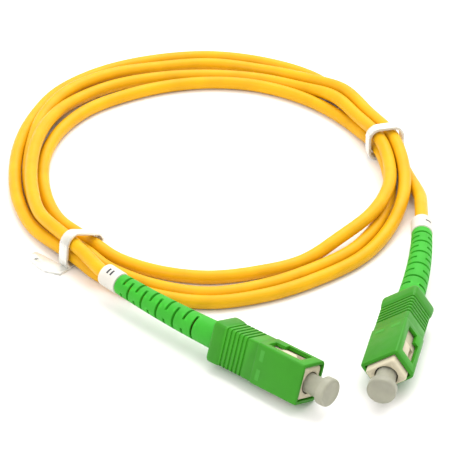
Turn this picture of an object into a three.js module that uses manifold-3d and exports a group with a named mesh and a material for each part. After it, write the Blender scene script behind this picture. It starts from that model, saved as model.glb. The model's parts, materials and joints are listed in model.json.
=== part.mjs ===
// Fibre optic patch cord: two angled-polish push-pull plugs on one simplex cable, coiled and tied.
// Millimetres, +Z up, resting on z = 0. +X runs to the right along the two plugs, +Y away from them.
import * as THREE from 'three';
import { mergeVertices } from 'three/addons/utils/BufferGeometryUtils.js';
import Module from 'manifold-3d';

const wasm = await Module();
wasm.setup();

// ---- driving dimensions; plug stations run along x from the front face of the plug frame ----
const JACKET_R = 1.5;            // 3.0 mm simplex cable
const JACKET_HOLE_R = 1.12;
const YARN_R = 1.02;             // aramid strength yarn, laid as a sleeve
const YARN_HOLE_R = 0.62;
const BUFFER_R = 0.45;           // 0.9 mm tight buffer
const BUFFER_HOLE_R = 0.24;
const FIBRE_R = 0.125;
const SHELL_HY = 4.5;            // half width of the mating section, across the windows
const SHELL_HZ = 3.7;            // half height of the mating section, across the key
const SHELL_CORNER = 0.5;        // chamfers of the shell: away from the key, then beside it
const SHELL_KEY_CORNER = 1.2;
const SHELL_LENGTH = 24.2;
const GRIP_START = -12;          // the step behind the mating section
const CAVITY_END = -18.2;
const REAR_OPENING_R = 3.1;
const FRAME_HY = 3.5;            // half width and half height of the inner plug frame
const FRAME_HZ = 2.75;
const FRAME_END = -15.4;
const WALL_GAP = 0.25;           // running gap between frame and shell
const FERRULE_R = 1.25;          // 2.5 mm ferrule
const FERRULE_TIP = -0.5;
const FERRULE_BASE = -10.2;
const APC_ANGLE = 8 * Math.PI / 180;
const SLEEVE_BORE_R = 2.45;      // space around the ferrule for the mating sleeve
const SLEEVE_BORE_END = -7.6;
const FLANGE_R = 2.2;
const FLANGE_SEAT = -9.0;        // front of the flange, where it rests in the frame
const FLANGE_BACK = -11.3;
const SPRING_ROOM_R = 2.05;      // pocket of the backbone that takes the spring
const SPRING_ROOM_END = -17.5;
const BACKBONE_FRONT = -14.2;
const COLLAR_R = 2.8;
const COLLAR_END = -19.5;
const CRIMP_STEM_R = 1.8;        // the backbone's stem, under the crimp sleeve
const CRIMP_R = 2.25;
const CRIMP_TAIL_R = 1.95;
const BOOT_START = -21.4;
const BOOT_END = -53.0;
const BOOT_BASE_R = 2.95;
const BOOT_TIP_R = 2.3;
const CABLE_HOLE_R = 1.65;       // in the boot, and around the cable in the ring
const RING_LENGTH = 4.8;
const RING_R = 2.45;
const CAP_NECK_R = 2.15;
const CAP_HEAD_R = 3.05;
const CAP_HOLE_R = 1.38;
const BEND_START = -30;          // the boots curve behind this station
const SLOT_COUNT = 10;
const STRAP_THICKNESS = 0.7;
const STRAP_WIDTH = 2.5;
const ROUND = 24;                // sides of a turned piece
const BEYOND = 1;                // how far a cutting tool runs past the face that it opens
const ORIGIN = [11.113, -41.06, 0];  // row origin, measured in the layout's own coordinates

// ---- where the plugs lie: front of the plug frame, heading, nose pitch and roll in degrees ----
const PLUG_A = {
  tag: 'a', at: [32.95, -62.59, 4.935], heading: -103.6, pitch: -0.4, roll: -55.3,
  shell: -1.6, bend: [-0.0069, 0.0029], slotTurn: 45,
};
const PLUG_B = {
  tag: 'b', at: [17.27, -65.77, 5.565], heading: -41.2, pitch: 0.8, roll: -20.7,
  shell: 0.2, bend: [0.0027, -0.0019], slotTurn: 0,
};

// ---- how the coil lies: azimuth, inner radius, outer radius, top and underside of the bundle ----
const COIL_CENTRE = [-3.5, 19.5];
const TIE_LIFT = STRAP_THICKNESS + 0.15;  // a tie's strap passes under the strands
const BUNDLE = [
  [232, 38.0, 48.0, 3.95, TIE_LIFT], [225, 37.5, 47.1, 3.95, TIE_LIFT], [210, 37.3, 46.9, 6.4, 0.1],
  [195, 36.8, 46.6, 6.5, 0.05], [180, 37.0, 47.0, 6.3, 0.05], [165, 37.8, 47.9, 6.4, 0.05],
  [150, 38.8, 50.3, 6.1, 0.05], [135, 39.2, 53.4, 5.5, 0.05], [120, 39.0, 55.1, 4.2, 0.05],
  [105, 39.3, 55.5, 3.3, 0.05], [90, 39.7, 55.5, 3.2, 0.05], [75, 39.8, 54.1, 3.2, 0.05],
  [60, 39.2, 52.0, 4.5, 0.05], [45, 38.6, 48.0, 6.7, 0.05], [30, 38.4, 45.2, 6.3, 0.1],
  [14, 39.0, 45.4, 7.1, TIE_LIFT], [0, 39.7, 47.0, 6.4, 0.1], [-15, 40.4, 47.2, 6.4, 0.05],
  [-30, 40.5, 48.3, 6.2, 0.05], [-45, 39.7, 49.6, 5.2, 0.05], [-60, 39.7, 50.3, 3.2, 0.05],
  [-75, 39.9, 51.8, 3.2, 0.05], [-90, 40.4, 53.0, 3.2, 0.05], [-105, 39.8, 51.6, 3.2, 0.05],
  [-120, 38.6, 49.2, 3.2, 0.05],
];
// the straight runs between the coil and each plug's ring
const LEAD_A = [[44.3, 8.6, 2.6], [44.2, 3.0, 3.8]];
const LEAD_B = [[-34.8, -12.7, 5.5], [-33.0, -15.4, 5.5], [-31.0, -18.4, 5.55]];

const COLOURS = {
  housing: 0x40a02c, frame: 0xd7cdb4, ceramic: 0xf2efe6, metal: 0xb9bcc0, brass: 0xc9a24a,
  boot: 0x50d044, cap: 0xbbbba8, ring: 0xe4e4de, jacket: 0xfab91e, yarn: 0xe6cf63,
  buffer: 0xf0f0ea, fibre: 0xdfeaf0, strap: 0xe1e4dc, tube: 0xf4f6f6,
};

// ---- solids ----
function bare(geometry) {
  const copy = geometry.clone();
  copy.deleteAttribute('normal');
  copy.deleteAttribute('uv');
  return copy;
}

function toManifold(geometry) {
  const joined = mergeVertices(bare(geometry), 1e-4);
  return new wasm.Manifold(new wasm.Mesh({
    numProp: 3,
    vertProperties: new Float32Array(joined.attributes.position.array),
    triVerts: new Uint32Array(joined.index.array),
  }));
}

function toGeometry(solid) {
  const mesh = solid.getMesh();
  const geometry = new THREE.BufferGeometry();
  const points = [];
  for (let i = 0; i < mesh.numVert; i += 1) {
    points.push(...mesh.vertProperties.slice(i * mesh.numProp, i * mesh.numProp + 3));
  }
  geometry.setAttribute('position', new THREE.Float32BufferAttribute(points, 3));
  geometry.setIndex(Array.from(mesh.triVerts));
  return geometry;
}

function cut(body, tools) {
  let solid = toManifold(body);
  for (const tool of tools) {
    solid = solid.subtract(toManifold(tool));
  }
  return toGeometry(solid);
}

function join(pieces) {
  let solid = toManifold(pieces[0]);
  for (const piece of pieces.slice(1)) {
    solid = solid.add(toManifold(piece));
  }
  return toGeometry(solid);
}

// A body of revolution about +X. The profile lists [radius, x]. It starts and ends on the axis, or
// stays clear of it and is closed by its own first point.
function turned(profile, segments) {
  const points = profile.map(([r, x]) => new THREE.Vector2(r, x));
  const closed = profile[0][0] > 0 ? [...points, points[0].clone()] : points;
  const geometry = new THREE.LatheGeometry(closed, segments);
  geometry.rotateZ(-Math.PI / 2);
  return facingOut(geometry);
}

function signedVolume(geometry) {
  const p = geometry.attributes.position;
  const index = geometry.index;
  const [a, b, c] = [new THREE.Vector3(), new THREE.Vector3(), new THREE.Vector3()];
  let volume = 0;
  for (let i = 0; i < index.count; i += 3) {
    a.fromBufferAttribute(p, index.getX(i));
    b.fromBufferAttribute(p, index.getX(i + 1));
    c.fromBufferAttribute(p, index.getX(i + 2));
    volume += a.dot(b.cross(c)) / 6;
  }
  return volume;
}

function facingOut(geometry) {
  if (signedVolume(geometry) < 0) {
    const order = geometry.index.array;
    for (let i = 0; i < order.length; i += 3) {
      [order[i + 1], order[i + 2]] = [order[i + 2], order[i + 1]];
    }
  }
  return geometry;
}

function box(x0, x1, y0, y1, z0, z1) {
  const geometry = new THREE.BoxGeometry(x1 - x0, y1 - y0, z1 - z0);
  geometry.translate((x0 + x1) / 2, (y0 + y1) / 2, (z0 + z1) / 2);
  return geometry;
}

function cylinder(x0, x1, radius, sides) {
  return turned([[0, x0], [radius, x0], [radius, x1], [0, x1]], sides);
}

// A bar along x whose ends are eight-sided sections: [x, half y, half z, top corner, key corner].
function bar(sections) {
  const points = [];
  for (const [x, hy, hz, top, key] of sections) {
    const section = [
      [hy, hz - top], [hy - top, hz], [-hy + top, hz], [-hy, hz - top],
      [-hy, -hz + key], [-hy + key, -hz], [hy - key, -hz], [hy, -hz + key],
    ];
    for (const [y, z] of section) points.push(x, y, z);
  }
  const corners = 8;
  const faces = [];
  for (let s = 0; s + 1 < sections.length; s += 1) {
    for (let i = 0; i < corners; i += 1) {
      const j = (i + 1) % corners;
      const [p, q] = [s * corners + i, s * corners + j];
      faces.push(p, p + corners, q, q, p + corners, q + corners);
    }
  }
  const last = (sections.length - 1) * corners;
  for (let i = 1; i + 1 < corners; i += 1) {
    faces.push(0, i, i + 1, last, last + i + 1, last + i);
  }
  const geometry = new THREE.BufferGeometry();
  geometry.setAttribute('position', new THREE.Float32BufferAttribute(points, 3));
  geometry.setIndex(faces);
  return facingOut(geometry);
}

// A path whose samples stay on the given points, so that neighbouring turns keep their spacing.
class Route extends THREE.Curve {
  constructor(points) {
    super();
    this.points = points;
  }

  getPoint(t, target = new THREE.Vector3()) {
    const spans = this.points.length - 1;
    const whole = Math.min(Math.floor(t * spans + 1e-9), spans - 1);
    return target.lerpVectors(this.points[whole], this.points[whole + 1], t * spans - whole);
  }

  getPointAt(u, target) {
    return this.getPoint(u, target);
  }

  getTangentAt(u, target = new THREE.Vector3()) {
    const half = 0.45 / (this.points.length - 1);
    const ahead = this.getPoint(Math.min(1, u + half));
    const behind = this.getPoint(Math.max(0, u - half));
    return target.copy(ahead).sub(behind).normalize();
  }
}

function ringShape(outer, inner, sides) {
  const shape = new THREE.Shape();
  const hole = new THREE.Path();
  for (let i = 0; i <= sides; i += 1) {
    const angle = (i / sides) * 2 * Math.PI;
    const [c, s] = [Math.cos(angle), Math.sin(angle)];
    if (i === 0) {
      shape.moveTo(outer * c, outer * s);
      hole.moveTo(inner * c, inner * s);
    } else {
      shape.lineTo(outer * c, outer * s);
      hole.lineTo(inner * c, inner * s);
    }
  }
  if (inner > 0) shape.holes.push(hole);
  return shape;
}

function tube(points, outer, inner, sides) {
  const geometry = new THREE.ExtrudeGeometry(ringShape(outer, inner, sides), {
    steps: points.length - 1, extrudePath: new Route(points), bevelEnabled: false,
  });
  geometry.deleteAttribute('normal');
  geometry.deleteAttribute('uv');
  return facingOut(mergeVertices(geometry, 1e-4));
}

// ---- placing a plug: its own +X is the mating direction, +Y looks out of one window ----
function plugMatrix(plug) {
  const rad = Math.PI / 180;
  const [h, p, r] = [plug.heading * rad, plug.pitch * rad, plug.roll * rad];
  const forward = new THREE.Vector3(Math.cos(h) * Math.cos(p), Math.sin(h) * Math.cos(p), Math.sin(p));
  const side = new THREE.Vector3().crossVectors(forward, new THREE.Vector3(0, 0, 1)).normalize();
  const up = new THREE.Vector3().crossVectors(side, forward);
  const y = up.multiplyScalar(Math.cos(r)).addScaledVector(side, Math.sin(r));
  const z = new THREE.Vector3().crossVectors(forward, y);
  const at = new THREE.Vector3(...plug.at).sub(new THREE.Vector3(...ORIGIN));
  return new THREE.Matrix4().makeBasis(forward, y, z).setPosition(at);
}

// The curve of a boot: x behind BEND_START follows an arc whose curvature has y and z parts.
function bent(plug, point) {
  const run = BEND_START - point.x;
  if (run <= 0) return point.clone();
  const [ky, kz] = plug.bend;
  const k = Math.hypot(ky, kz);
  const n = new THREE.Vector2(ky / k, kz / k);
  const inward = point.y * n.x + point.z * n.y;
  const angle = k * run;
  const shift = (1 - Math.cos(angle)) / k + inward * (Math.cos(angle) - 1);
  return new THREE.Vector3(
    BEND_START - (1 / k - inward) * Math.sin(angle), point.y + shift * n.x, point.z + shift * n.y);
}

function bend(plug, geometry) {
  const p = geometry.attributes.position;
  const v = new THREE.Vector3();
  for (let i = 0; i < p.count; i += 1) {
    const moved = bent(plug, v.fromBufferAttribute(p, i));
    p.setXYZ(i, moved.x, moved.y, moved.z);
  }
  return geometry;
}

const group = new THREE.Group();
group.name = 'fibre_optic_patch_cord';

function add(name, geometry, colour, roughness, metalness = 0) {
  const material = new THREE.MeshStandardMaterial({ color: colour, roughness, metalness });
  const mesh = new THREE.Mesh(geometry, material);
  mesh.name = name;
  group.add(mesh);
}

// ---- sub-parts of one plug, in plug coordinates ----
function shellSections() {
  const [lip, rib, flareY, flareZ, ribStart] = [0.3, 0.15, 0.1, 0.15, -20.9];
  const rear = -SHELL_LENGTH;
  const section = (x, growY, growZ, corner) => [
    x, SHELL_HY + growY, SHELL_HZ + growZ, corner, SHELL_KEY_CORNER];
  return [
    section(0, -0.2, -0.2, SHELL_CORNER), section(-lip, 0, 0, SHELL_CORNER),
    section(GRIP_START, 0, 0, SHELL_CORNER), section(GRIP_START - lip, -rib, -rib, SHELL_CORNER),
    section(ribStart, -rib, -rib, 0.6), section(ribStart - 0.8, 0, 0.05, 0.8),
    section(rear + 0.8, flareY, flareZ, 1.0), section(rear, -0.4, -0.35, 0.9),
  ];
}

// Grooves across the four sides of the grip.
function gripGrooves() {
  const [first, last, count, width, floorY, floorZ] = [-20.9, -14.5, 6, 0.5, 4.0, 3.3];
  const [acrossY, acrossZ, far] = [3.8, 3.0, 6];
  const pitch = (last - first) / count;
  const tools = [];
  for (let i = 0; i < count; i += 1) {
    const x = first + pitch * (i + 0.5);
    const [x0, x1] = [x - width / 2, x + width / 2];
    tools.push(box(x0, x1, floorY, far, -acrossZ, acrossZ), box(x0, x1, -far, -floorY, -acrossZ, acrossZ));
    tools.push(box(x0, x1, -acrossY, acrossY, floorZ, far), box(x0, x1, -acrossY, acrossY, -far, -floorZ));
  }
  return tools;
}

// The push-pull shell: key below, a window in each narrow side, ribbed grip behind.
function housingSolid(shellX) {
  const key = box(-8.5, -2.5, -1.1, 1.1, -SHELL_HZ - 0.75, -SHELL_HZ + 0.3);
  const half = FRAME_HY + WALL_GAP;
  const tools = [
    box(CAVITY_END, BEYOND, -half, half, -FRAME_HZ - WALL_GAP, FRAME_HZ + 0.3),
    cylinder(-SHELL_LENGTH - BEYOND, CAVITY_END + BEYOND, REAR_OPENING_R, ROUND),
    ...gripGrooves(),
  ];
  const [inside, outside] = [3.0, 6];
  for (const [y0, y1] of [[inside, outside], [-outside, -inside]]) {
    tools.push(box(-8.4, -2.3, y0, y1, -1.9, 2.1));
    tools.push(box(-10.8, -8.0, y0, y1, -0.7, 2.1));
  }
  const solid = cut(join([bar(shellSections()), key]), tools);
  solid.translate(shellX, 0, 0);
  return solid;
}

// The inner plug frame, with the two ramped pads that the shell's windows hold back.
function frameSolid() {
  const [corner, keyCorner, padCorner] = [0.45, 0.8, 0.2];
  const body = bar([
    [0, FRAME_HY - 0.25, FRAME_HZ - 0.2, corner, keyCorner],
    [-0.4, FRAME_HY, FRAME_HZ, corner, keyCorner], [FRAME_END, FRAME_HY, FRAME_HZ, corner, keyCorner],
  ]);
  const pads = [-1, 1].map((side) => {
    const pad = bar([
      [-8.3, 0.3, 0.95, padCorner, padCorner], [-7.2, 0.5, 1.0, padCorner, padCorner],
      [-4.9, 0.5, 1.0, padCorner, padCorner], [-4.2, 0.3, 0.6, padCorner, padCorner],
    ]);
    return pad.translate(0, side * (FRAME_HY + 0.12), 0.7);
  });
  return cut(join([body, ...pads]), [
    cylinder(SLEEVE_BORE_END, BEYOND, SLEEVE_BORE_R, 28),
    cylinder(FLANGE_SEAT, SLEEVE_BORE_END + BEYOND, FERRULE_R + 0.2, 20),
    cylinder(FRAME_END - BEYOND, FLANGE_SEAT + 0.3, FLANGE_R + 0.35, ROUND),
  ]);
}

// The ferrule's tip is chamfered, then sheared to the angled polish.
function ferruleSolid() {
  const hole = 0.22;
  const tipR = FERRULE_R - 0.3;
  const solid = turned([
    [hole, FERRULE_BASE], [FERRULE_R, FERRULE_BASE], [FERRULE_R, FERRULE_TIP - 0.35],
    [tipR, FERRULE_TIP], [hole, FERRULE_TIP],
  ], ROUND);
  const p = solid.attributes.position;
  for (let i = 0; i < p.count; i += 1) {
    const nearTip = p.getX(i) > FERRULE_TIP - 1;
    if (nearTip) p.setX(i, p.getX(i) - 0.3 + p.getY(i) * Math.tan(APC_ANGLE));
  }
  return solid;
}

// Metal holder pressed on the ferrule's base; its stem centres the spring.
function flangeSolid() {
  const [tubeR, stemR, stemEnd] = [0.75, 1.25, -13.2];
  const seatR = FERRULE_R + 0.1;
  return turned([
    [tubeR, stemEnd], [stemR, stemEnd], [stemR, FLANGE_BACK], [FLANGE_R, FLANGE_BACK],
    [FLANGE_R, FLANGE_SEAT - 0.3], [FLANGE_R - 0.3, FLANGE_SEAT], [seatR, FLANGE_SEAT],
    [seatR, FERRULE_BASE - 0.1], [tubeR, FERRULE_BASE - 0.1],
  ], ROUND);
}

function springSolid() {
  const [coilR, wireR, coils, perCoil] = [1.72, 0.22, 4.5, 12];
  const front = FLANGE_BACK - 0.3;
  const rear = SPRING_ROOM_END + 0.3;
  const steps = coils * perCoil;
  const points = [];
  for (let i = 0; i <= steps; i += 1) {
    const angle = (i / perCoil) * 2 * Math.PI;
    const x = front + (rear - front) * (i / steps);
    points.push(new THREE.Vector3(x, coilR * Math.cos(angle), coilR * Math.sin(angle)));
  }
  return tube(points, wireR, 0, 6);
}

// Metal backbone: spring pocket in front, collar, and a stem that the yarn is crimped to.
function backboneSolid() {
  const [holeR, stemEnd, frontR, collarFront] = [0.85, -27, 2.4, -15.8];
  return turned([
    [holeR, stemEnd], [CRIMP_STEM_R, stemEnd], [CRIMP_STEM_R, COLLAR_END], [COLLAR_R, COLLAR_END],
    [COLLAR_R, collarFront], [frontR, collarFront], [frontR, BACKBONE_FRONT],
    [SPRING_ROOM_R, BACKBONE_FRONT], [SPRING_ROOM_R, SPRING_ROOM_END], [holeR, SPRING_ROOM_END],
  ], ROUND);
}

function crimpSolid() {
  const [front, neck, tail] = [-20, -27.4, -32];
  const cableR = JACKET_R + 0.1;
  return turned([
    [cableR, tail], [CRIMP_TAIL_R, tail], [CRIMP_TAIL_R, neck - 0.6], [CRIMP_R, neck], [CRIMP_R, front],
    [CRIMP_STEM_R + 0.15, front], [CRIMP_STEM_R + 0.15, neck + 0.2], [cableR, neck - 0.4],
  ], ROUND);
}

function bootRadius(x) {
  const taperStart = -26;
  const t = (x - BOOT_END) / (taperStart - BOOT_END);
  return BOOT_TIP_R + (BOOT_BASE_R - BOOT_TIP_R) * Math.min(1, Math.max(0, t));
}

// The slots stand closer together towards the cable.
function slotStations() {
  const stations = [];
  let x = BOOT_END + 2.3;
  for (let i = 0; i < SLOT_COUNT; i += 1) {
    stations.push(x);
    x += 1.9 + 0.1 * i;
  }
  return stations;
}

// Each station is slotted from two opposite sides, turned a quarter from the station before.
function bootSolid(plug) {
  const stations = slotStations();
  const [edge, crimpRoomR, crimpRoomEnd] = [0.25, 2.4, -32.6];
  const tip = bootRadius(BOOT_END);
  const outline = [[CABLE_HOLE_R, BOOT_END], [tip - edge, BOOT_END], [tip, BOOT_END + edge]];
  for (const x of stations) outline.push([bootRadius(x), x]);
  outline.push([BOOT_BASE_R, -26], [BOOT_BASE_R, BOOT_START], [crimpRoomR, BOOT_START]);
  outline.push([crimpRoomR, crimpRoomEnd], [CABLE_HOLE_R, crimpRoomEnd - 0.6]);
  const [web, half, far] = [0.95, 0.3, 4];
  const tools = stations.map((x, i) => (i % 2
    ? [box(x - half, x + half, -far, far, web, far), box(x - half, x + half, -far, far, -far, -web)]
    : [box(x - half, x + half, web, far, -far, far), box(x - half, x + half, -far, -web, -far, far)]));
  const turnedTools = tools.flat().map((tool) => tool.rotateX(THREE.MathUtils.degToRad(plug.slotTurn)));
  return bend(plug, cut(turned(outline, 20), turnedTools));
}

// The marking ring clipped round the cable behind the boot.
function ringSolid(plug) {
  const [gap, edge] = [0.1, 0.3];
  const front = BOOT_END - gap;
  const rear = front - RING_LENGTH;
  const holeR = CABLE_HOLE_R - 0.03;
  return bend(plug, turned([
    [holeR, rear], [RING_R - edge, rear], [RING_R, rear + edge], [RING_R, front - edge],
    [RING_R - edge, front], [holeR, front],
  ], ROUND));
}

// Dust cap: a neck with a blind hole over the ferrule, and a round flanged head.
function capSolid() {
  const [mouth, headBack, headFront, edge] = [-5.2, 3.4, 5.6, 0.3];
  return turned([
    [0, 0.6], [CAP_HOLE_R, 0.4], [CAP_HOLE_R, mouth], [CAP_NECK_R - 0.05, mouth], [CAP_NECK_R, headBack],
    [CAP_HEAD_R - 0.05, headBack + edge], [CAP_HEAD_R, headBack + 2 * edge],
    [CAP_HEAD_R, headFront - edge], [CAP_HEAD_R - edge, headFront], [0, headFront],
  ], ROUND);
}

function guideTube() {
  const [outer, inner, rear, front] = [0.7, 0.55, -20.5, -10.7];
  return turned([[inner, rear], [outer, rear], [outer, front], [inner, front]], 12);
}

// The bare fibre from the polished tip back through the guide tube.
function fibreStub() {
  return cylinder(-19.5, FERRULE_TIP - 0.5, 0.14, 8);
}

function addPlug(plug) {
  const matrix = plugMatrix(plug);
  const parts = [
    ['housing', housingSolid(plug.shell), COLOURS.housing, 0.45],
    ['plug_frame', frameSolid(), COLOURS.frame, 0.5],
    ['ferrule', ferruleSolid(), COLOURS.ceramic, 0.15],
    ['ferrule_flange', flangeSolid(), COLOURS.metal, 0.3, 1],
    ['spring', springSolid(), COLOURS.metal, 0.3, 1],
    ['backbone', backboneSolid(), COLOURS.metal, 0.35, 1],
    ['crimp_sleeve', crimpSolid(), COLOURS.brass, 0.35, 1],
    ['guide_tube', guideTube(), COLOURS.tube, 0.4],
    ['fibre_stub', fibreStub(), COLOURS.fibre, 0.1],
    ['boot', bootSolid(plug), COLOURS.boot, 0.6],
    ['id_ring', ringSolid(plug), COLOURS.ring, 0.4],
    ['dust_cap', capSolid(), COLOURS.cap, 0.35],
  ];
  for (const [name, solid, colour, roughness, metalness] of parts) {
    solid.applyMatrix4(matrix);
    add(`${name}_${plug.tag}`, solid, colour, roughness, metalness);
  }
}

// ---- the cable's route ----
function axisPoint(plug, x) {
  return bent(plug, new THREE.Vector3(x, 0, 0)).applyMatrix4(plugMatrix(plug));
}

function layoutPoint([x, y, z]) {
  return new THREE.Vector3(x - ORIGIN[0], y - ORIGIN[1], z - ORIGIN[2]);
}

// The outer shape of the bundle of turns: a closed ring of chamfered sections.
function coilSolid() {
  const chamfer = 0.8;
  const points = [];
  for (const [azimuth, inner, outer, top, under] of BUNDLE) {
    const angle = azimuth * Math.PI / 180;
    const section = [
      [inner + chamfer, under], [outer - chamfer, under], [outer, under + chamfer],
      [outer, top - chamfer], [outer - chamfer, top], [inner + chamfer, top],
      [inner, top - chamfer], [inner, under + chamfer],
    ];
    for (const [r, z] of section) {
      const p = layoutPoint([COIL_CENTRE[0] + r * Math.cos(angle), COIL_CENTRE[1] + r * Math.sin(angle), z]);
      points.push(p.x, p.y, p.z);
    }
  }
  const corners = 8;
  const count = BUNDLE.length;
  const faces = [];
  for (let s = 0; s < count; s += 1) {
    for (let i = 0; i < corners; i += 1) {
      const [p, q] = [s * corners + i, s * corners + (i + 1) % corners];
      const next = ((s + 1) % count - s) * corners;
      faces.push(p, p + next, q, q, p + next, q + next);
    }
  }
  const geometry = new THREE.BufferGeometry();
  geometry.setAttribute('position', new THREE.Float32BufferAttribute(points, 3));
  geometry.setIndex(faces);
  return facingOut(geometry);
}

// From inside the plug, through the boot and the ring, to where the cable joins the coil.
function leadRoute(plug, lead, inset) {
  const stations = [-inset, -34, -41, -47, BOOT_END, BOOT_END - RING_LENGTH - 0.5];
  return [...lead.map(layoutPoint), ...stations.reverse().map((x) => axisPoint(plug, x))];
}

function addLead(plug, lead) {
  const layers = [
    ['cable_lead', 28.6, JACKET_R, JACKET_HOLE_R, 8, COLOURS.jacket, 0.45],
    ['aramid_yarn', 29.2, YARN_R, YARN_HOLE_R, 8, COLOURS.yarn, 0.8],
    ['tight_buffer', 21.4, BUFFER_R, BUFFER_HOLE_R, 8, COLOURS.buffer, 0.5],
    ['optical_fibre', 20.9, FIBRE_R, 0, 6, COLOURS.fibre, 0.1],
  ];
  for (const [name, inset, outer, inner, sides, colour, roughness] of layers) {
    const route = leadRoute(plug, lead, inset);
    add(`${name}_${plug.tag}`, tube(route, outer, inner, sides), colour, roughness);
  }
}

// ---- ties: a flat strap closed round the strands ----
// The outline round the strands at this distance from their centres, flat where it meets the floor.
function wrap(strands, reach, floor) {
  const steps = 24;
  const outline = [];
  for (let i = 0; i < steps; i += 1) {
    const angle = (i / steps) * 2 * Math.PI;
    const u = new THREE.Vector2(Math.cos(angle), Math.sin(angle));
    const furthest = strands.reduce((a, b) => (b.dot(u) > a.dot(u) ? b : a));
    const point = furthest.clone().addScaledVector(u, reach);
    outline.push(new THREE.Vector2(point.x, Math.max(point.y, floor)));
  }
  return outline;
}

// The strap's free end, flat on the floor beside the coil: outward from the strands, then along them.
function tailSolid(start) {
  const [bottom, thickness] = [0.04, 0.5];
  const outline = [
    [0, -1.2], [3.4, -1.2], [4.6, 2.5], [3.6, 8.0], [0.9, 9.0], [0.5, 8.6], [0.5, 1.2], [0, 1.2],
  ];
  const shape = new THREE.Shape(outline.map(([out, along]) => new THREE.Vector2(start + out, along)));
  const eye = new THREE.Path();
  eye.absarc(start + 2.5, 6.8, 0.5, 0, 2 * Math.PI, true);
  shape.holes.push(eye);
  const solid = new THREE.ExtrudeGeometry(shape, {
    depth: thickness, bevelEnabled: false, curveSegments: 10,
  });
  // the shape's plane becomes the floor: its second axis runs along the strands
  return solid.rotateX(-Math.PI / 2).scale(1, 1, -1).translate(0, bottom, 0);
}

function addTie(name, azimuth, radius, strands, tailStart) {
  const clear = 0.6;
  const centres = strands.map(([out, z]) => new THREE.Vector2(out, z));
  const inside = wrap(centres, JACKET_R + clear, STRAP_THICKNESS + 0.02);
  const shape = new THREE.Shape(wrap(centres, JACKET_R + clear + STRAP_THICKNESS, 0.02));
  shape.holes.push(new THREE.Path(inside.reverse()));
  let solid = new THREE.ExtrudeGeometry(shape, { depth: STRAP_WIDTH, bevelEnabled: false });
  solid.translate(0, 0, -STRAP_WIDTH / 2);
  if (tailStart) solid = join([solid, facingOut(mergeVertices(bare(tailSolid(tailStart)), 1e-4))]);
  const angle = azimuth * Math.PI / 180;
  const outward = new THREE.Vector3(Math.cos(angle), Math.sin(angle), 0);
  const up = new THREE.Vector3(0, 0, 1);
  const along = new THREE.Vector3().crossVectors(outward, up);
  const at = layoutPoint([
    COIL_CENTRE[0] + radius * outward.x, COIL_CENTRE[1] + radius * outward.y, 0]);
  solid.applyMatrix4(new THREE.Matrix4().makeBasis(outward, up, along).setPosition(at));
  add(name, solid, COLOURS.strap, 0.4);
}

addPlug(PLUG_A);
addPlug(PLUG_B);
add('cable_coil', coilSolid(), COLOURS.jacket, 0.45);
addLead(PLUG_A, LEAD_A);
addLead(PLUG_B, LEAD_B);
addTie('tie_left', 229, 39.4, [[0, 2.4], [6.6, 2.4], [6.2, 5.5]], 8.2);
addTie('tie_right', 14, 40.6, [[0, 2.4], [3.2, 2.4], [3.2, 5.5], [0, 5.5]], 0);

export default group;
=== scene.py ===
"""Looks of a fibre optic patch cord: two push-pull plugs on one yellow cable, coiled and tied."""

import json
import math

import bmesh
import bpy
from mathutils import Matrix, Vector


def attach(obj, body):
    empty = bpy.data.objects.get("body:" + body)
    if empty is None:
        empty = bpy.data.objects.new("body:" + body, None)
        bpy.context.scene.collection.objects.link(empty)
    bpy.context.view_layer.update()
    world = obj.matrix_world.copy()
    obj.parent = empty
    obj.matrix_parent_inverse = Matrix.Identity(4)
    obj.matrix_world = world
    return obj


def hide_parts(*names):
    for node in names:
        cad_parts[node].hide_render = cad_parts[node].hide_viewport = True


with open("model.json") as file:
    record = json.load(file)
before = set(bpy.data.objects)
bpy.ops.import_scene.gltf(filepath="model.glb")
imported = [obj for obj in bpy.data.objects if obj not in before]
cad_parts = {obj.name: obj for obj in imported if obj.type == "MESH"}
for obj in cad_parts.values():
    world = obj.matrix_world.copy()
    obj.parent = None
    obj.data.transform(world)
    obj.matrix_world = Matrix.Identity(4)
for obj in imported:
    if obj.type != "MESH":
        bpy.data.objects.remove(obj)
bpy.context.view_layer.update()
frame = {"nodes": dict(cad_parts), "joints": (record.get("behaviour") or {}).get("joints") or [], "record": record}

# ---- sizes in millimetres; plug stations run along x from the front face of the plug frame ----
MM = 0.001
CABLE_R = 1.5
CABLE_START = -28.6          # where the jacket ends, inside the crimp sleeve
CABLE_HOLE_R = 1.65
PATH_SPACING = 1.6

SHELL_HY = 4.5
SHELL_HZ = 3.7
SHELL_LENGTH = 24.2
SHELL_SHIFT = {"a": -1.6, "b": 0.2}
FACE_STATION = -6.0          # where the record's mount lies on the shell
GRIP_START = -12.0
GROOVE_COUNT = 6
GROOVE_WIDTH = 0.52
CAVITY_END = -18.2
REAR_OPENING_R = 3.1
KEY_REAR = -8.5
KEY_FRONT = -2.5
WINDOW_TOP = 2.1
WINDOW_PARTS = [(-8.4, -2.3, -1.9), (-10.8, -8.2, -0.7)]    # rear, front and lower edge of each part
FACE_MARK_AT = (-2.1, 2.1)

FRAME_HY = 3.5
FRAME_HZ = 2.75
FRAME_END = -15.4
WALL_GAP = 0.25
SLEEVE_BORE_R = 2.45
SLEEVE_BORE_END = -7.6
FERRULE_HOLE_R = 1.45
SPRING_ROOM_R = 2.55
SPRING_ROOM_START = -8.7

BOOT_START = -21.4
BOOT_TAPER_START = -26.0
BOOT_END = -53.0
BOOT_BASE_R = 2.95
BOOT_TIP_R = 2.3
BOOT_BEND = {"a": (-0.0069, 0.0029), "b": (0.0027, -0.0019)}
BEND_START = -30.0
CRIMP_ROOM_R = 2.4
CRIMP_ROOM_END = -32.6
SLOT_COUNT = 10
SLOT_TURN = {"a": 45.0, "b": 0.0}

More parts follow.
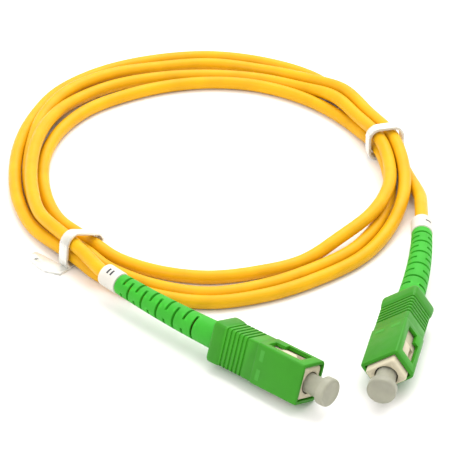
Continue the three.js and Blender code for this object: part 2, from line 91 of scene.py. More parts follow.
RING_LENGTH = 4.8
RING_R = 2.45
RING_HOLE_R = 1.62
RING_GAP = 0.1               # between the boot and the ring
RING_MARK_AT = {"a": 20.0, "b": 40.0}
RING_MARK_ARC = 34.0
RING_MARK_WIDTH = 0.44
RING_MARK_PITCH = 1.0

CAP_NECK_R = 2.15
CAP_HEAD_R = 3.05
CAP_HOLE_R = 1.38
CAP_MOUTH = -5.2
CAP_FRONT = 5.6

STRAP_THICKNESS = 0.7
STRAP_WIDTH = 2.5
STRAP_CLEARANCE = 0.6        # between the strap and the strands
OFF_FLOOR = 0.02

# ---- the coil: azimuth, radius of the inner lane, then (outward step, height) of each turn ----
COIL_CENTRE = Vector((-14.613, 60.56, 0.0))
LANES = [
    (225, 39.1, (5.6, 5.5), (0.0, 2.4), (3.2, 2.4), (6.4, 2.4)),
    (210, 38.9, (4.6, 4.9), (0.0, 1.7), (3.2, 1.7), (6.4, 1.7)),
    (195, 38.4, (3.2, 4.7), (0.0, 1.6), (3.2, 1.6), (6.4, 1.6)),
    (180, 38.5, (2.4, 4.6), (0.0, 1.6), (3.3, 1.6), (6.4, 1.6)),
    (165, 39.3, (2.2, 4.6), (0.0, 1.6), (3.9, 2.0), (7.0, 1.6)),
    (150, 40.2, (3.0, 3.8), (0.0, 1.6), (5.8, 2.9), (8.6, 1.6)),
    (135, 40.8, (4.6, 2.2), (0.0, 1.6), (8.1, 3.0), (11.2, 1.6)),
    (120, 40.6, (5.6, 1.6), (0.0, 1.6), (9.4, 2.6), (12.9, 1.6)),
    (105, 40.9, (4.4, 1.6), (0.0, 1.6), (9.3, 1.7), (13.0, 1.6)),
    (90, 41.3, (3.4, 1.6), (0.0, 1.6), (9.0, 1.6), (12.6, 1.6)),
    (75, 41.4, (3.2, 1.6), (0.0, 1.6), (7.6, 1.6), (11.1, 1.6)),
    (60, 40.8, (3.2, 2.1), (0.0, 1.6), (6.3, 2.9), (9.6, 1.6)),
    (45, 40.2, (1.9, 4.5), (0.0, 1.6), (5.1, 5.1), (6.2, 1.6)),
    (30, 40.0, (0.4, 4.7), (0.0, 1.6), (3.6, 4.7), (3.4, 1.6)),
    (14, 40.6, (0.0, 5.5), (0.0, 2.4), (3.2, 5.5), (3.2, 2.4)),
    (0, 41.3, (0.0, 4.8), (0.0, 1.6), (3.2, 4.7), (4.2, 1.6)),
    (-15, 42.2, (-0.2, 4.8), (0.0, 1.6), (3.4, 3.6), None),
    (-30, 43.2, (-1.1, 4.6), (0.2, 1.6), (3.5, 2.2), None),
    (-45, 43.8, (-2.5, 3.6), (0.9, 1.6), (4.2, 1.6), None),
    (-60, 43.6, (-2.3, 1.6), (1.6, 1.6), (5.1, 1.6), None),
    (-75, 42.9, (-1.4, 1.6), (3.8, 1.6), (7.3, 1.6), None),
    (-90, 42.3, (-0.3, 1.6), (5.8, 1.6), (9.1, 1.6), None),
    (-105, 41.4, (0.0, 1.6), (5.2, 1.6), (8.6, 1.6), None),
    (-120, 40.2, (0.0, 1.6), (4.0, 1.6), (7.4, 1.6), None),
    (-128, 39.6, (0.0, 2.4), (3.3, 2.4), (6.6, 2.4), None),
]
TURN_COUNT = 4
# the straight runs between the coil and each plug's ring, coil end first
LEAD_A = [(33.187, 49.66, 2.6), (33.087, 44.06, 3.8)]
LEAD_B = [(-45.913, 28.36, 5.5), (-44.113, 25.66, 5.5), (-42.113, 22.66, 5.55)]

# ---- camera ----
CAMERA_AT = (-10.803, -445.92, 323.92)
CAMERA_PITCH = 56.37
LENS = 207.1


def make_camera():
    """Looks down at the coil from the front, from far away."""
    data = bpy.data.cameras.new("camera")
    data.lens = LENS
    data.sensor_width = 36.0
    data.clip_start = 0.01
    data.clip_end = 20.0
    camera = bpy.data.objects.new("camera", data)
    bpy.context.scene.collection.objects.link(camera)
    camera.location = Vector(CAMERA_AT) * MM
    camera.rotation_euler = (math.radians(CAMERA_PITCH), 0.0, 0.0)
    bpy.context.scene.camera = camera


# ---- where each plug lies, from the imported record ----
def plug_matrix(tag):
    """Plug millimetres to row metres: +X forward, +Z out of the plain wide face."""
    joint = next(j for j in frame["joints"] if j["name"] == f"cap_{tag}_pull")
    mount = next(m for m in frame["record"]["mounts"] if m["name"] == f"plug_{tag}_shell_face")
    forward = Vector(joint["axis"]).normalized()
    y = Vector(mount["axis"]).cross(forward).normalized()
    z = forward.cross(y)
    at = Vector(mount["pos_m"]) / MM - z * SHELL_HZ - forward * (FACE_STATION + SHELL_SHIFT[tag])
    turn = Matrix((forward, y, z)).transposed().to_4x4()
    return Matrix.Scale(MM, 4) @ Matrix.Translation(at) @ turn


PLACES = {tag: plug_matrix(tag) for tag in "ab"}


def bent(tag, point):
    """Behind BEND_START the boot and the cable in it follow a gentle arc."""
    run = BEND_START - point.x
    if run <= 0:
        return point.copy()
    ky, kz = BOOT_BEND[tag]
    k = math.hypot(ky, kz)
    ny, nz = ky / k, kz / k
    inward = point.y * ny + point.z * nz
    angle = k * run
    shift = (1 - math.cos(angle)) / k + inward * (math.cos(angle) - 1)
    x = BEND_START - (1 / k - inward) * math.sin(angle)
    return Vector((x, point.y + shift * ny, point.z + shift * nz))


def axis_point(tag, x):
    """A point on the plug's axis, bent with the boot, in metres."""
    return PLACES[tag] @ bent(tag, Vector((x, 0, 0)))


# ---- mesh helpers, all in millimetres ----
SHARP_ANGLE = 38.0


class Solid:
    """Points and faces of one closed shape, or of several side by side."""

    def __init__(self):
        self.points = []
        self.faces = []

    def add(self, other):
        base = len(self.points)
        self.points += other.points
        self.faces += [[base + i for i in f] for f in other.faces]


def turned(profile, sides=48):
    """A body of revolution about x from (x, radius) pairs; a ring if no radius is 0."""
    solid = Solid()
    rows = []
    for x, r in profile:
        if r == 0:
            rows.append([len(solid.points)])
            solid.points.append(Vector((x, 0, 0)))
            continue
        rows.append([len(solid.points) + i for i in range(sides)])
        for i in range(sides):
            a = 2 * math.pi * i / sides
            solid.points.append(Vector((x, r * math.cos(a), r * math.sin(a))))
    pairs = list(zip(rows, rows[1:]))
    if profile[0][1] > 0:
        pairs.append((rows[-1], rows[0]))
    for p, q in pairs:
        for i in range(sides):
            j = (i + 1) % sides
            corners = [p[i % len(p)], q[i % len(q)], q[j % len(q)], p[j % len(p)]]
            face = [c for n, c in enumerate(corners) if c not in corners[:n]]
            if len(face) > 2:
                solid.faces.append(face)
    return solid


def rounded(hy, hz, top, key, steps=5):
    """A rectangle with round corners: `top` radius at +z, `key` radius at -z."""
    corners = [
        (hy - top, hz - top, top, 0), (-hy + top, hz - top, top, 90),
        (-hy + key, -hz + key, key, 180), (hy - key, -hz + key, key, 270),
    ]
    points = []
    for y, z, r, start in corners:
        for i in range(steps + 1):
            a = math.radians(start + 90 * i / steps)
            points.append((y + r * math.cos(a), z + r * math.sin(a)))
    return points


def loft(sections):
    """A closed bar along x through sections of equal point count: (x, [(y, z), ...])."""
    solid = Solid()
    count = len(sections[0][1])
    for x, ring in sections:
        solid.points += [Vector((x, y, z)) for y, z in ring]
    for s in range(len(sections) - 1):
        for i in range(count):
            j = (i + 1) % count
            a, b = s * count + i, s * count + j
            solid.faces.append([a, a + count, b + count, b])
    last = (len(sections) - 1) * count
    solid.faces.append(list(range(count)))
    solid.faces.append([last + i for i in reversed(range(count))])
    return solid


def block(x0, x1, y0, y1, z0, z1):
    """A box between these limits."""
    ring = [(y1, z1), (y0, z1), (y0, z0), (y1, z0)]
    return loft([(x0, ring), (x1, ring)])


def bore(x0, x1, radius, sides=48):
    """A round bar along x, for cutting a hole."""
    return turned([(x0, 0), (x0, radius), (x1, radius), (x1, 0)], sides)


def make_object(name, solid):
    """A piece with its own coordinates, scaled to metres, and normals that face outward."""
    scale = Matrix.Scale(MM, 4)
    mesh = bpy.data.meshes.new(name)
    mesh.from_pydata([scale @ p for p in solid.points], [], solid.faces)
    shape = bmesh.new()
    shape.from_mesh(mesh)
    bmesh.ops.recalc_face_normals(shape, faces=shape.faces)
    shape.to_mesh(mesh)
    shape.free()
    piece = bpy.data.objects.new(name, mesh)
    bpy.context.scene.collection.objects.link(piece)
    return piece


def settle(piece):
    """Applies the piece's modifiers."""
    bpy.context.view_layer.update()
    graph = bpy.context.evaluated_depsgraph_get()
    mesh = bpy.data.meshes.new_from_object(piece.evaluated_get(graph))
    old = piece.data
    piece.modifiers.clear()
    piece.data = mesh
    bpy.data.meshes.remove(old)
    mesh.name = piece.name


def carve(piece, tools, operation="DIFFERENCE"):
    """Cuts or joins tools that don't overlap each other."""
    cutter = make_object("cutter", tools)
    change = piece.modifiers.new("carve", "BOOLEAN")
    change.operation = operation
    change.solver = "EXACT"
    change.use_self = True
    change.object = cutter
    settle(piece)
    bpy.data.objects.remove(cutter)


def soften(piece, width):
    """Rounds the sharp edges, so that they catch the light."""
    change = piece.modifiers.new("soften", "BEVEL")
    change.width = width * MM
    change.segments = 2
    change.limit_method = "ANGLE"
    change.angle_limit = math.radians(SHARP_ANGLE)
    change.use_clamp_overlap = True
    settle(piece)
    shade(piece)


def shade(piece, angle=SHARP_ANGLE):
    """Smooth shading, except across edges sharper than the angle."""
    mesh = piece.data
    mesh.polygons.foreach_set("use_smooth", [True] * len(mesh.polygons))
    mesh.set_sharp_from_angle(angle=math.radians(angle))


def put(piece, place, warp=None):
    """Moves a piece built in scaled plug coordinates to where the plug lies."""
    for vertex in piece.data.vertices:
        point = vertex.co / MM
        vertex.co = place @ (warp(point) if warp else point)
    piece.data.update()


def dress(piece, material, body, slot, *nodes):
    """Gives a piece its material and body, and hides the CAD nodes that it stands for. The slot argument is not
    used.
    """
    piece.data.materials.clear()
    piece.data.materials.append(material)
    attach(piece, body)
    if nodes:
        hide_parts(*nodes)


# ---- materials ----
class Nodes:
    """A node tree with short ways to add and link nodes."""

    def __init__(self, name):
        self.material = bpy.data.materials.new(name)
        self.material.use_nodes = True
        self.tree = self.material.node_tree
        self.shader = self.tree.nodes["Principled BSDF"]
        self.coordinate = self.add("ShaderNodeTexCoord").outputs["Object"]

    def add(self, kind, **settings):
        node = self.tree.nodes.new(kind)
        for key, value in settings.items():
            setattr(node, key, value)
        return node

    def link(self, source, target):
        self.tree.links.new(source, target)

    def noise(self, per_mm, detail=3.0, roughness=0.5):
        node = self.add("ShaderNodeTexNoise")
        node.inputs["Scale"].default_value = per_mm / MM
        node.inputs["Detail"].default_value = detail
        node.inputs["Roughness"].default_value = roughness
        self.link(self.coordinate, node.inputs["Vector"])
        return node.outputs["Fac"]

    def spread(self, value, low, high, start=0.3, end=0.7):
        node = self.add("ShaderNodeMapRange")
        node.inputs["From Min"].default_value = start
        node.inputs["From Max"].default_value = end
        node.inputs["To Min"].default_value = low
        node.inputs["To Max"].default_value = high
        self.link(value, node.inputs["Value"])
        return node.outputs["Result"]

    def mix(self, factor, first, second):
        node = self.add("ShaderNodeMix", data_type="RGBA")
        self.link(factor, node.inputs["Factor"])
        for socket, value in ((node.inputs[6], first), (node.inputs[7], second)):
            if isinstance(value, tuple):
                socket.default_value = value
            else:
                self.link(value, socket)
        return node.outputs[2]

    def bump(self, height, depth_mm, strength=1.0, normal=None):
        node = self.add("ShaderNodeBump")
        node.inputs["Distance"].default_value = depth_mm * MM
        node.inputs["Strength"].default_value = strength
        self.link(height, node.inputs["Height"])
        if normal is not None:
            self.link(normal, node.inputs["Normal"])
        return node.outputs["Normal"]


def linear(red, green, blue):
    """A colour given as 0-255 display values, in the renderer's linear space."""
    def one(v):
        c = v / 255
        return c / 12.92 if c <= 0.04045 else ((c + 0.055) / 1.055) ** 2.4
    return (one(red), one(green), one(blue), 1.0)


def shaded(colour, factor):
    """The same colour, lighter or darker."""
    return tuple(min(1.0, c * factor) for c in colour[:3]) + (1.0,)


def plastic(name, colour, rough, grain=2.4, grain_depth=0.012, gloss=0.25, painted_edge_highlight=0.25, soft=0.0):
    """Moulded plastic: faint mottling, fine grain, cleaner or duller patches, and sharp outer edges made paler as
    a painted highlight.
    """
    n = Nodes(name)
    mottle = n.noise(0.16, 4.0)
    base = n.mix(n.spread(mottle, 0.0, 1.0), shaded(colour, 0.90), shaded(colour, 1.08))
    geometry = n.add("ShaderNodeNewGeometry")
    # painted highlight: sharp outer edges (high pointiness) are mixed towards a 1.6 times lighter copy of the
    # colour
    edge = n.spread(geometry.outputs["Pointiness"], 0.0, painted_edge_highlight, 0.52, 0.60)
    n.link(n.mix(edge, base, shaded(colour, 1.6)), n.shader.inputs["Base Color"])
    n.link(n.spread(n.noise(0.5, 3.0), rough - 0.06, rough + 0.08), n.shader.inputs["Roughness"])
    wave = n.bump(n.noise(0.3, 2.0), 0.05, 0.25)
    n.link(n.bump(n.noise(grain, 3.0), grain_depth, 0.6, wave), n.shader.inputs["Normal"])
    n.shader.inputs["Specular IOR Level"].default_value = gloss
    if soft:
        n.shader.inputs["Subsurface Weight"].default_value = soft
        n.shader.inputs["Subsurface Radius"].default_value = (0.001, 0.001, 0.0006)
        n.shader.inputs["Subsurface Scale"].default_value = 0.6
    return n.material


def frosted(name, colour, rough, clear):
    """Translucent moulded plastic, clouded unevenly."""
    n = Nodes(name)
    cloud = n.noise(0.35, 4.0, 0.6)
    base = n.mix(n.spread(cloud, 0.0, 1.0), shaded(colour, 0.88), shaded(colour, 1.06))
    n.link(base, n.shader.inputs["Base Color"])
    n.link(n.spread(n.noise(0.9, 3.0), rough - 0.05, rough + 0.08), n.shader.inputs["Roughness"])
    n.link(n.bump(n.noise(1.8, 3.0), 0.012, 0.5), n.shader.inputs["Normal"])
    n.shader.inputs["Transmission Weight"].default_value = clear
    n.shader.inputs["IOR"].default_value = 1.45
    n.shader.inputs["Subsurface Weight"].default_value = 0.3
    n.shader.inputs["Subsurface Radius"].default_value = (0.0015, 0.0015, 0.0012)
    return n.material


def metal(name, colour, rough):
    """Turned and plated metal: fine scratches round it, and light tarnish."""
    n = Nodes(name)
    tarnish = n.noise(0.8, 5.0, 0.6)
    base = n.mix(n.spread(tarnish, 0.0, 1.0), shaded(colour, 0.75), colour)
    n.link(base, n.shader.inputs["Base Color"])
    n.link(n.spread(n.noise(3.0, 2.0), rough - 0.08, rough + 0.12), n.shader.inputs["Roughness"])
    n.link(n.bump(n.noise(6.0, 2.0), 0.004, 0.5), n.shader.inputs["Normal"])
    n.shader.inputs["Metallic"].default_value = 1.0
    return n.material


def fibrous(name, colour):
    """Twisted aramid yarn: thin light and dark strands."""
    n = Nodes(name)
    strands = n.noise(5.0, 6.0, 0.7)
    base = n.mix(n.spread(strands, 0.0, 1.0), shaded(colour, 0.6), shaded(colour, 1.15))
    n.link(base, n.shader.inputs["Base Color"])
    n.link(n.bump(strands, 0.08, 0.9), n.shader.inputs["Normal"])
    n.link(n.spread(strands, 0.6, 0.85), n.shader.inputs["Roughness"])
    n.shader.inputs["Sheen Weight"].default_value = 0.4
    return n.material


GREEN = linear(44, 128, 16)
BOOT_GREEN = linear(52, 162, 40)
IVORY = linear(192, 184, 160)
YELLOW = linear(217, 162, 10)
MATERIALS = {
    "shell": plastic("shell_green_plastic", GREEN, 0.4, 2.2, 0.010, 0.25, 0.5),
    "boot": plastic("boot_green_rubber", BOOT_GREEN, 0.5, 2.8, 0.015, 0.2, 0.3),
    "frame": plastic("frame_ivory_plastic", IVORY, 0.45, 2.0, 0.010, 0.3, 0.3),
    "cable": plastic("jacket_yellow_plastic", YELLOW, 0.42, 1.6, 0.014, 0.2, 0.0),
    "ring": plastic("ring_white_plastic", linear(206, 203, 194), 0.4, 2.0, 0.010),
    "mark": plastic("pale_mark_print", linear(58, 138, 42), 0.5, 2.0, 0.006),
    "dark_mark": plastic("dark_mark_print", linear(52, 54, 60), 0.5, 2.0, 0.006),
    "ceramic": plastic("white_ceramic", linear(242, 240, 232), 0.16, 4.0, 0.002),
    "buffer": plastic("buffer_white_plastic", linear(240, 240, 234), 0.45),
    "tube": plastic("natural_tube_plastic", linear(236, 238, 234), 0.35),
    "cap": frosted("cap_frosted_plastic", linear(178, 178, 160), 0.42, 0.4),
    "strap": frosted("strap_frosted_plastic", linear(212, 213, 206), 0.35, 0.35),
    "fibre": frosted("bare_glass_fibre", linear(230, 238, 242), 0.1, 0.9),
    "steel": metal("nickel_plate", linear(190, 192, 194), 0.3),
    "brass": metal("crimp_brass", linear(205, 168, 84), 0.35),
    "yarn": fibrous("aramid_yarn_strands", linear(232, 206, 100)),
}


# ---- the cable ----
def smooth_path(points, spacing):
    """A centripetal Catmull-Rom curve through the points, sampled about every `spacing`."""
    ends = [points[0] * 2 - points[1], *points, points[-1] * 2 - points[-2]]
    path = []
    for p0, p1, p2, p3 in zip(ends, ends[1:], ends[2:], ends[3:]):
        knots = [0.0]
        for p, q in ((p0, p1), (p1, p2), (p2, p3)):
            knots.append(knots[-1] + max((q - p).length, 1e-6) ** 0.5)
        t0, t1, t2, t3 = knots
        count = max(1, round((p2 - p1).length / spacing))
        for i in range(count):
            t = t1 + (t2 - t1) * i / count
            a1 = p0 * ((t1 - t) / (t1 - t0)) + p1 * ((t - t0) / (t1 - t0))
            a2 = p1 * ((t2 - t) / (t2 - t1)) + p2 * ((t - t1) / (t2 - t1))
            a3 = p2 * ((t3 - t) / (t3 - t2)) + p3 * ((t - t2) / (t3 - t2))
            b1 = a1 * ((t2 - t) / (t2 - t0)) + a2 * ((t - t0) / (t2 - t0))
            b2 = a2 * ((t3 - t) / (t3 - t1)) + a3 * ((t - t1) / (t3 - t1))
            path.append(b1 * ((t2 - t) / (t2 - t1)) + b2 * ((t - t1) / (t2 - t1)))
    path.append(points[-1])
    return path


def cable_route():
    """From inside plug b, through its boot, round the coil, and into plug a."""
    stations = [CABLE_START, -34, -41, -47, BOOT_END, BOOT_END - RING_LENGTH - 0.5]    # along each plug
    points = [axis_point("b", x) / MM for x in stations]
    points += [Vector(p) for p in reversed(LEAD_B)]
    for turn in range(TURN_COUNT):
        for azimuth, inner_radius, *places in LANES:
            if places[turn] is None:
                continue
            outward, height = places[turn]
            angle = math.radians(azimuth)
            out = Vector((math.cos(angle), math.sin(angle), 0)) * (inner_radius + outward)
            points.append(COIL_CENTRE + out + Vector((0, 0, height)))
    points += [Vector(p) for p in LEAD_A]
    points += [axis_point("a", x) / MM for x in reversed(stations)]
    return points


def add_cable():
    """The whole cable as one round tube along its route, and its length in metres."""
    path = smooth_path(cable_route(), PATH_SPACING)
    data = bpy.data.curves.new("cable", "CURVE")
    data.dimensions = "3D"
    data.bevel_depth = CABLE_R * MM
    data.bevel_resolution = 5
    data.use_fill_caps = True
    spline = data.splines.new("POLY")
    spline.points.add(len(path) - 1)
    for point, at in zip(spline.points, path):
        point.co = (*(at * MM), 1.0)
    spline.use_smooth = True
    cable = bpy.data.objects.new("cable", data)
    bpy.context.scene.collection.objects.link(cable)
    dress(cable, MATERIALS["cable"], "cord", "jacket_yellow",
          "cable_coil", "cable_lead_a", "cable_lead_b")
    length = sum((q - p).length for p, q in zip(path, path[1:]))
    return cable, length * MM


# ---- the plugs ----
def shell_sections():
    """Sections of the shell from its front rim, along the ribbed grip, to its flared rear."""
    rim, rib, groove, edge = 0.3, -0.15, -0.4, 0.05
    rows = [
        (0, -0.32, 0.45), (-0.06, -0.16, 0.5), (-0.16, -0.05, 0.5), (-rim, 0, 0.5),
        (GRIP_START, 0, 0.5), (GRIP_START - 0.1, -0.03, 0.5), (GRIP_START - 0.25, rib + 0.02, 0.5),
        (GRIP_START - 0.4, rib, 0.5),
    ]
    first, last = -14.5, -20.9
    half = GROOVE_WIDTH / 2
    for i in range(GROOVE_COUNT):
        x = first + (last - first) / GROOVE_COUNT * (i + 0.5)
        for dx, grow in ((half, rib), (half - edge, groove), (edge - half, groove), (-half, rib)):
            rows.append((x + dx, grow, 0.6))
    rows = [(x, grow, grow, corner) for x, grow, corner in rows]
    rows += [
        (-21.0, rib, rib, 0.65), (-21.25, -0.04, 0.0, 0.75), (-21.7, 0.02, 0.07, 0.85),
        (-22.6, 0.07, 0.12, 0.95), (-23.4, 0.1, 0.15, 1.0), (-23.8, 0.04, 0.09, 1.0),
        (-24.05, -0.12, -0.07, 0.95), (-SHELL_LENGTH, -0.4, -0.35, 0.9),
    ]
    key_side_corner = 1.15
    return [(x, rounded(SHELL_HY + gy, SHELL_HZ + gz, corner, key_side_corner)) for x, gy, gz, corner in rows]


def housing(tag):
    """The push-pull shell, with its key below and a window in each narrow side."""
    piece = make_object(f"housing_shell_{tag}", loft(shell_sections()))
    key = loft([(x, rounded(1.1, 0.6, 0.15, 0.25)) for x in (KEY_REAR, KEY_FRONT)])
    for point in key.points:
        point.z -= SHELL_HZ + 0.15
    carve(piece, key, "UNION")
    half = FRAME_HY + WALL_GAP
    carve(piece, block(CAVITY_END, 1, -half, half, -FRAME_HZ - WALL_GAP, FRAME_HZ + 0.3))
    carve(piece, bore(-SHELL_LENGTH - 1, CAVITY_END + 1, REAR_OPENING_R))
    for side in (-1, 1):
        y0, y1 = sorted((side * 3.0, side * 6.0))
        for rear, front, low in WINDOW_PARTS:
            carve(piece, block(rear, front, y0, y1, low, WINDOW_TOP))
    soften(piece, 0.13)
    shift = SHELL_SHIFT[tag]
    put(piece, PLACES[tag], lambda p: p + Vector((shift, 0, 0)))
    dress(piece, MATERIALS["shell"], f"housing_{tag}", "shell_green", f"housing_{tag}")


def face_marks(tag):
    """Two pale printed bars on the plain wide face, just ahead of the grip."""
    for i, y in enumerate(FACE_MARK_AT):
        mark = loft([(GRIP_START + dx, rounded(1.2, 0.02, 0.01, 0.01, 1)) for dx in (0.9, 1.9)])
        shift = Vector((SHELL_SHIFT[tag], y, SHELL_HZ + 0.005))
        piece = make_object(f"face_mark_{tag}_{i + 1}", mark)
        put(piece, PLACES[tag], lambda p: p + shift)
        dress(piece, MATERIALS["mark"], f"housing_{tag}", "frame_ivory")


def plug_frame(tag):
    """The frame inside the shell, with a latch pad and a recess beside it in each window."""
    front = [(0, -0.3, -0.25), (-0.12, -0.1, -0.08), (-0.35, 0, 0), (FRAME_END, 0, 0)]
    body = loft([(x, rounded(FRAME_HY + gy, FRAME_HZ + gz, 0.45, 0.8)) for x, gy, gz in front])
    piece = make_object(f"inner_frame_{tag}", body)
    for side in (-1, 1):
        rows = [(-8.3, 0.3, 0.95), (-7.2, 0.5, 1.0), (-4.9, 0.5, 1.0), (-4.2, 0.3, 0.6)]
        pad = loft([(x, rounded(hy, hz, 0.2, 0.2, 3)) for x, hy, hz in rows])
        for point in pad.points:
            point.y += side * (FRAME_HY + 0.12)
            point.z += 0.7
        carve(piece, pad, "UNION")
        y0, y1 = sorted((side * (FRAME_HY - 0.9), side * 5))
        carve(piece, block(-8.6, -2.2, y0, y1, -1.9, -0.35))
    carve(piece, bore(SLEEVE_BORE_END, 1, SLEEVE_BORE_R))
    carve(piece, bore(-9, -7, FERRULE_HOLE_R))
    carve(piece, bore(-16, SPRING_ROOM_START, SPRING_ROOM_R))
    soften(piece, 0.1)
    put(piece, PLACES[tag])
    dress(piece, MATERIALS["frame"], "cord", "frame_ivory", f"plug_frame_{tag}")


def boot_radius(x):
    """The boot's radius, tapering from BOOT_TAPER_START to its end."""
    t = (x - BOOT_END) / (BOOT_TAPER_START - BOOT_END)
    return BOOT_TIP_R + (BOOT_BASE_R - BOOT_TIP_R) * min(1.0, max(0.0, t))


def slot_stations():
    """The slots stand closer together towards the cable."""
    stations = []
    x = BOOT_END + 2.3
    for i in range(SLOT_COUNT):
        stations.append(x)
        x += 1.9 + 0.1 * i
    return stations


def boot(tag):
    """Tapered boot, slotted from two opposite sides at each station, a quarter turn further on."""
    fine = [BOOT_END + 0.6 + 0.5 * i for i in range(64)]
    tip = boot_radius(BOOT_END)
    outline = [(BOOT_END, CABLE_HOLE_R), (BOOT_END, tip - 0.3), (BOOT_END + 0.08, tip - 0.12),
               (BOOT_END + 0.25, tip)]
    outline += [(x, boot_radius(x)) for x in fine if x < BOOT_START]
    outline += [(BOOT_START, BOOT_BASE_R), (BOOT_START, CRIMP_ROOM_R), (CRIMP_ROOM_END, CRIMP_ROOM_R),
                (CRIMP_ROOM_END - 0.6, CABLE_HOLE_R)]
    piece = make_object(f"strain_relief_{tag}", turned(outline, 56))
    web, half, far = 0.95, 0.32, 4
    turn = Matrix.Rotation(math.radians(SLOT_TURN[tag]), 3, "X")
    for first in (0, 1):
        tools = Solid()
        for x in slot_stations()[first::2]:
            for low, high in ((web, far), (-far, -web)):
                spans = (low, high, -far, far) if first == 0 else (-far, far, low, high)
                tools.add(block(x - half, x + half, *spans))
        tools.points = [turn @ p for p in tools.points]
        carve(piece, tools)
    soften(piece, 0.09)
    put(piece, PLACES[tag], lambda p: bent(tag, p))
    dress(piece, MATERIALS["boot"], "cord", "boot_green", f"boot_{tag}")


def marking_ring(tag):
    """The ring clipped round the cable behind the boot."""
    front = BOOT_END - RING_GAP
    rear = front - RING_LENGTH
    profile = [(rear, RING_HOLE_R), (rear, RING_R - 0.35), (rear + 0.1, RING_R - 0.1), (rear + 0.3, RING_R)]
    steps = 8
    profile += [(rear + 0.3 + (RING_LENGTH - 0.6) * i / steps, RING_R) for i in range(1, steps)]
    profile += [(front - 0.3, RING_R), (front - 0.1, RING_R - 0.1), (front, RING_R - 0.35),
                (front, RING_HOLE_R)]
    piece = make_object(f"marking_ring_{tag}", turned(profile, 56))
    shade(piece)
    put(piece, PLACES[tag], lambda p: bent(tag, p))
    dress(piece, MATERIALS["ring"], "cord", "ring_white", f"id_ring_{tag}")
    return piece


def ring_mark(x, middle_angle):
    """A thin bar that follows part of the ring's outside at this station."""
    steps = 10
    mark = Solid()
    for k in range(steps + 1):
        a = math.radians(middle_angle + RING_MARK_ARC * (k / steps - 0.5))
        for dx in (-RING_MARK_WIDTH / 2, RING_MARK_WIDTH / 2):
            for r in (RING_R - 0.03, RING_R + 0.02):
                mark.points.append(Vector((x + dx, r * math.cos(a), r * math.sin(a))))
    for k in range(steps):
        p, q = 4 * k, 4 * k + 4
        mark.faces += [[p, p + 1, q + 1, q], [p + 1, p + 3, q + 3, q + 1],
                       [p + 3, p + 2, q + 2, q + 3], [p + 2, p, q, q + 2]]
    end = 4 * steps
    mark.faces += [[0, 2, 3, 1], [end, end + 1, end + 3, end + 2]]
    return mark


def ring_marks(tag, count):
    """Plain bars across the ring: one for plug a, two for plug b."""
    bars = []
    middle = BOOT_END - RING_GAP - RING_LENGTH / 2
    for i in range(count):
        x = middle + (i - (count - 1) / 2) * RING_MARK_PITCH
        bar = make_object(f"ring_mark_{tag}_{i + 1}", ring_mark(x, RING_MARK_AT[tag]))
        put(bar, PLACES[tag], lambda p: bent(tag, p))
        dress(bar, MATERIALS["dark_mark"], "cord", "ring_white")
        bars.append(bar)
    return bars


def dust_cap(tag):
    """A neck with a blind hole over the ferrule, and a round flanged head."""
    profile = [
        (0.6, 0), (0.4, CAP_HOLE_R), (CAP_MOUTH, CAP_HOLE_R), (CAP_MOUTH, 2.0), (-5.05, 2.1), (-4.8, 2.12),
        (2.9, CAP_NECK_R), (3.25, 2.25), (3.45, 2.5), (3.52, 2.85), (3.65, 3.0), (3.85, CAP_HEAD_R),
        (5.15, CAP_HEAD_R), (5.4, 2.98), (5.55, 2.8), (CAP_FRONT, 2.55), (CAP_FRONT, 2.3), (5.52, 2.1),
        (5.5, 0),
    ]
    piece = make_object(f"dust_cap_body_{tag}", turned(profile, 64))
    shade(piece, 50)
    put(piece, PLACES[tag])
    dress(piece, MATERIALS["cap"], f"cap_{tag}", "cap_grey", f"dust_cap_{tag}")


# ---- ties ----
def wrap(strands, reach, floor):
    """Closed outline round the strands, at this distance from their centres and above the floor."""
    outline = []
    steps = 72
    for i in range(steps):
        a = 2 * math.pi * i / steps
        u = Vector((math.cos(a), math.sin(a)))
        point = max((Vector(c) for c in strands), key=u.dot) + u * reach
        outline.append(Vector((point.x, max(point.y, floor))))
    return outline


def strap_loop(strands):
    """A flat strap with round edges, closed round the strands."""
    inner = wrap(strands, CABLE_R + STRAP_CLEARANCE, STRAP_THICKNESS + OFF_FLOOR)
    outer = wrap(strands, CABLE_R + STRAP_CLEARANCE + STRAP_THICKNESS, OFF_FLOOR)
    edge = 0.14
    share = edge / STRAP_THICKNESS
    w = STRAP_WIDTH / 2
    section = [(0, edge - w), (share, -w), (1 - share, -w), (1, edge - w),
               (1, w - edge), (1 - share, w), (share, w), (0, w - edge)]
    solid = Solid()
    for p, q in zip(inner, outer):
        for outward, across in section:
            point = p.lerp(q, outward)
            solid.points.append(Vector((point.x, across, point.y)))
    count, turns = len(section), len(inner)
    for s in range(turns):
        for i in range(count):
            j, n = (i + 1) % count, (s + 1) % turns
            solid.faces.append([s * count + i, n * count + i, n * count + j, s * count + j])
    return solid


def strap_tail(start):
    """The strap's free end, flat on the floor beside the coil."""
    outline = [(0, -1.2), (3.2, -1.2), (3.9, 0.4), (4.6, 2.5), (4.2, 5.4), (3.4, 8.2), (2.2, 9.2),
               (0.9, 9.0), (0.5, 8.6), (0.5, 1.2), (0, 1.2)]
    bottom, thickness = 0.04, 0.5
    solid = Solid()
    for z in (bottom, bottom + thickness):
        solid.points += [Vector((start + out, along, z)) for out, along in outline]
    count = len(outline)
    solid.faces = [list(range(count)), [count + i for i in reversed(range(count))]]
    solid.faces += [[i, (i + 1) % count, count + (i + 1) % count, count + i] for i in range(count)]
    return solid


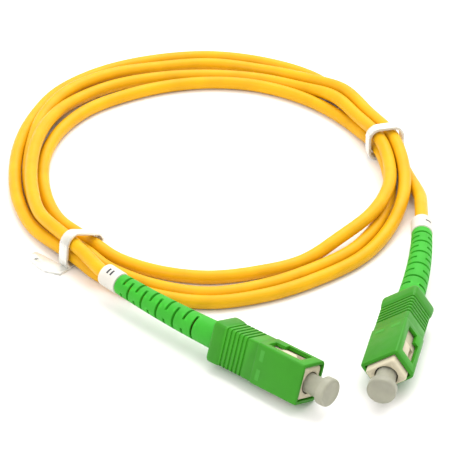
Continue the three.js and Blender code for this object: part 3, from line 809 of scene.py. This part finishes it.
def tie(name, azimuth, radius, strands, tail_start=0.0):
    """A tie across the bundle at this azimuth; its free end shows only where a start is given."""
    angle = math.radians(azimuth)
    out = Vector((math.cos(angle), math.sin(angle), 0))
    up = Vector((0, 0, 1))
    along = out.cross(up)
    piece = make_object(f"{name}_strap", strap_loop(strands))
    if tail_start:
        carve(piece, strap_tail(tail_start), "UNION")
        eye = bore(-1, 2, 0.5, 24)
        eye.points = [Vector((tail_start + 2.5 + p.y, 6.8 + p.z, p.x)) for p in eye.points]
        carve(piece, eye)
        soften(piece, 0.08)
    else:
        shade(piece)
    turn = Matrix((out, along, up)).transposed().to_4x4()
    put(piece, Matrix.Scale(MM, 4) @ Matrix.Translation(COIL_CENTRE + out * radius) @ turn)
    dress(piece, MATERIALS["strap"], "cord", "strap", name)
    return piece


# ---- carried-over inner pieces ----
INNER = {
    "ferrule": "ceramic", "ferrule_flange": "steel", "spring": "steel", "backbone": "steel",
    "crimp_sleeve": "brass", "guide_tube": "tube", "fibre_stub": "fibre", "aramid_yarn": "yarn",
    "tight_buffer": "buffer", "optical_fibre": "fibre",
}


def dress_inner():
    """Materials on the CAD's own meshes that stay in view."""
    for kind, material in INNER.items():
        for tag in "ab":
            mesh = frame["nodes"][f"{kind}_{tag}"].data
            mesh.materials.clear()
            mesh.materials.append(MATERIALS[material])


# ---- floor and light ----
def make_floor():
    """A plain pale floor, far wider than the object."""
    n = Nodes("floor_paper")
    tone = n.noise(0.004, 3.0)
    n.link(n.mix(n.spread(tone, 0.0, 1.0), (0.86, 0.86, 0.86, 1), (0.88, 0.88, 0.88, 1)),
           n.shader.inputs["Base Color"])
    n.shader.inputs["Roughness"].default_value = 0.9
    bpy.ops.mesh.primitive_grid_add(size=6.0, x_subdivisions=4, y_subdivisions=4)
    floor = bpy.context.object
    floor.name = "floor"
    floor.data.materials.append(n.material)


LIGHT_AIM = Vector((-0.01, 0.02, 0))


def area_light(name, at, size, power, colour):
    data = bpy.data.lights.new(name, "AREA")
    data.shape = "RECTANGLE"
    data.size, data.size_y = size
    data.energy = power
    data.color = colour
    lamp = bpy.data.objects.new(name, data)
    bpy.context.scene.collection.objects.link(lamp)
    lamp.location = at
    lamp.rotation_euler = (LIGHT_AIM - Vector(at)).to_track_quat("-Z", "Y").to_euler()


def make_light():
    world = bpy.data.worlds.new("studio")
    world.use_nodes = True
    background = world.node_tree.nodes["Background"]
    background.inputs["Color"].default_value = (1.0, 0.97, 0.94, 1.0)
    background.inputs["Strength"].default_value = 1.15
    bpy.context.scene.world = world
    area_light("key", (0.2, 0.45, 0.85), (0.9, 0.9), 9.0, (1.0, 0.99, 0.98))
    area_light("fill", (-0.5, -0.4, 0.6), (0.6, 0.6), 2.0, (1.0, 1.0, 1.0))
    view = bpy.context.scene.view_settings
    view.view_transform = "Standard"
    view.look = "None"


make_camera()
cable, cable_length = add_cable()
ties = [tie("tie_left", 229, 39.4, [(0, 2.4), (6.6, 2.4), (6.2, 5.5)], 8.2),
        tie("tie_right", 14, 40.6, [(0, 2.4), (3.2, 2.4), (3.2, 5.5), (0, 5.5)])]
marks = []
for tag, mark_count in (("a", 1), ("b", 2)):
    marking_ring(tag)
    marks += ring_marks(tag, mark_count)
axis_point("a", BOOT_END)
for tag in "ab":
    housing(tag)
    face_marks(tag)
    plug_frame(tag)
    boot(tag)
    dust_cap(tag)
dress_inner()
make_floor()
make_light()
